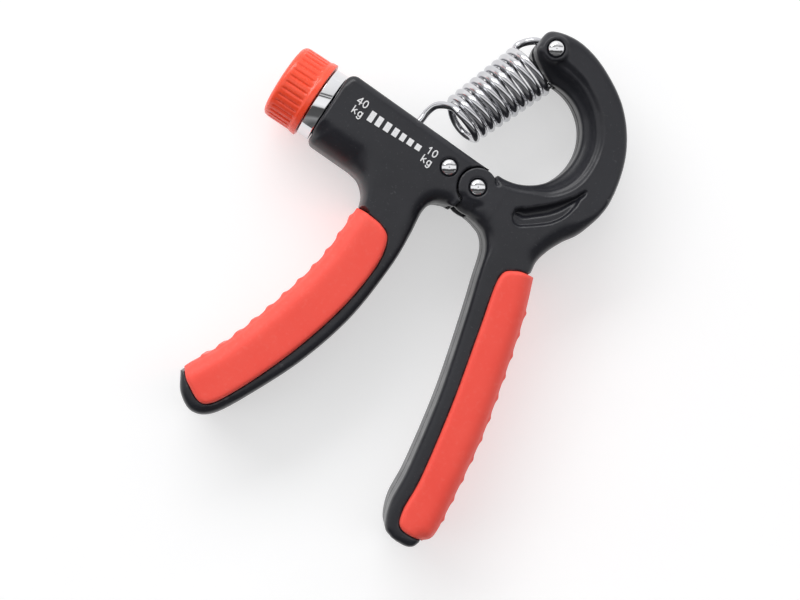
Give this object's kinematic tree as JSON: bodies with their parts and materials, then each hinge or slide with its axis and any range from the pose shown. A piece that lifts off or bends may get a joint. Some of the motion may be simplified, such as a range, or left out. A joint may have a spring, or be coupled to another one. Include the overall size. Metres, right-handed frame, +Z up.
{
  "type": "hand grip strengthener",
  "caption": "Adjustable spring hand gripper: two padded handles on a pivot, a hook arm, an extension spring and a ribbed load-adjusting knob.",
  "frame": {"origin": "centre of the base, on the surface that the gripper lies on, below the middle of its box", "axes": "+X along the adjusting screw from the knob to the pivot, +Y from the handles to the spring, +Z up out of the front face"},
  "size_m": [0.0984, 0.1352, 0.0244],
  "materials": {
    "black_plastic": "satin charcoal moulded plastic with a fine grain",
    "grip_rubber": "soft matte orange-red rubber",
    "knob_plastic": "glossy orange-red plastic with fine ribs",
    "chrome": "bright chrome plate",
    "spring_wire": "bright nickel-plated spring wire",
    "zinc_steel": "zinc-plated steel",
    "nylon": "natural white nylon"
  },
  "bodies": {
    "barrel_handle": {"barrel_front_shell": "black_plastic", "barrel_rear_shell": "black_plastic", "left_grip_pad": "grip_rubber", "chrome_collar": "chrome", "screw_bush": "nylon", "bearing_block": "nylon", "barrel_rivet": "chrome", "pivot_rivet": "chrome", "pivot_washer_front": "nylon", "pivot_washer_rear": "nylon", "left_upper_screw": "zinc_steel", "left_lower_screw": "zinc_steel"},
    "hook_handle": {"hook_front_shell": "black_plastic", "hook_rear_shell": "black_plastic", "right_grip_pad": "grip_rubber", "spring_rivet": "chrome", "right_upper_screw": "zinc_steel", "right_lower_screw": "zinc_steel", "hook_arm_screw": "zinc_steel"},
    "adjuster": {"adjuster_knob": "knob_plastic", "adjusting_screw": "zinc_steel", "thrust_washer": "zinc_steel", "retaining_clip": "zinc_steel"},
    "nut": {"travelling_nut": "nylon", "anchor_pin": "zinc_steel"},
    "spring_upper": {"spring_top_hook": "spring_wire"},
    "spring_middle": {"spring_coils_upper": "spring_wire"},
    "spring_lower": {"spring_coils_lower": "spring_wire"},
    "spring_leg": {"spring_leg": "spring_wire"}
  },
  "joints": [
    {"name": "squeeze", "type": "hinge", "parent": "barrel_handle", "child": "hook_handle", "pos_m": [0.00895, 0.02125, 0.0122], "axis": [0, 0, -1], "range_deg": [0, 32], "stiffness_Nm_per_rad": 10, "springref_deg": -2.86},
    {"name": "nut_travel", "type": "slide", "parent": "barrel_handle", "child": "nut", "axis": [1, 0, 0], "range_m": [-0.0113, 0.00285]},
    {"name": "knob_turn", "type": "hinge", "parent": "barrel_handle", "child": "adjuster", "pos_m": [-0.03455, 0.01785, 0.0122], "axis": [-1, 0, 0], "range_deg": [-2036, 515]},
    {"name": "spring_swing", "type": "hinge", "parent": "hook_handle", "child": "spring_upper", "pos_m": [0.00615, 0.06225, 0.0122], "axis": [0, 0, 1], "range_deg": [-13.1, 3.4], "deforming": ["spring_top_hook"]},
    {"name": "spring_stretch", "type": "slide", "parent": "spring_upper", "child": "spring_middle", "axis": [-0.3032, -0.9529, 0], "range_m": [0, 0.00945], "deforming": ["spring_coils_upper"]},
    {"name": "spring_preload", "type": "slide", "parent": "spring_middle", "child": "spring_lower", "axis": [-0.3032, -0.9529, 0], "range_m": [-0.0017, 0.0064], "deforming": ["spring_coils_lower"]},
    {"name": "spring_bend", "type": "hinge", "parent": "spring_lower", "child": "spring_leg", "pos_m": [-0.00385, 0.03365, 0.0122], "axis": [0, 0, 1], "range_deg": [0, 24.2], "deforming": ["spring_leg"]}
  ],
  "couplings": [
    {"joint": "knob_turn", "follows": "nut_travel", "rad_per_m": 3141.6},
    {"joint": "spring_swing", "follows": "nut_travel", "rad_per_m": 20.071},
    {"joint": "spring_preload", "follows": "nut_travel", "ratio": -0.5575},
    {"joint": "spring_stretch", "follows": "squeeze", "m_per_rad": 0.016831},
    {"joint": "spring_bend", "follows": "squeeze", "ratio": 0.75313}
  ]
}
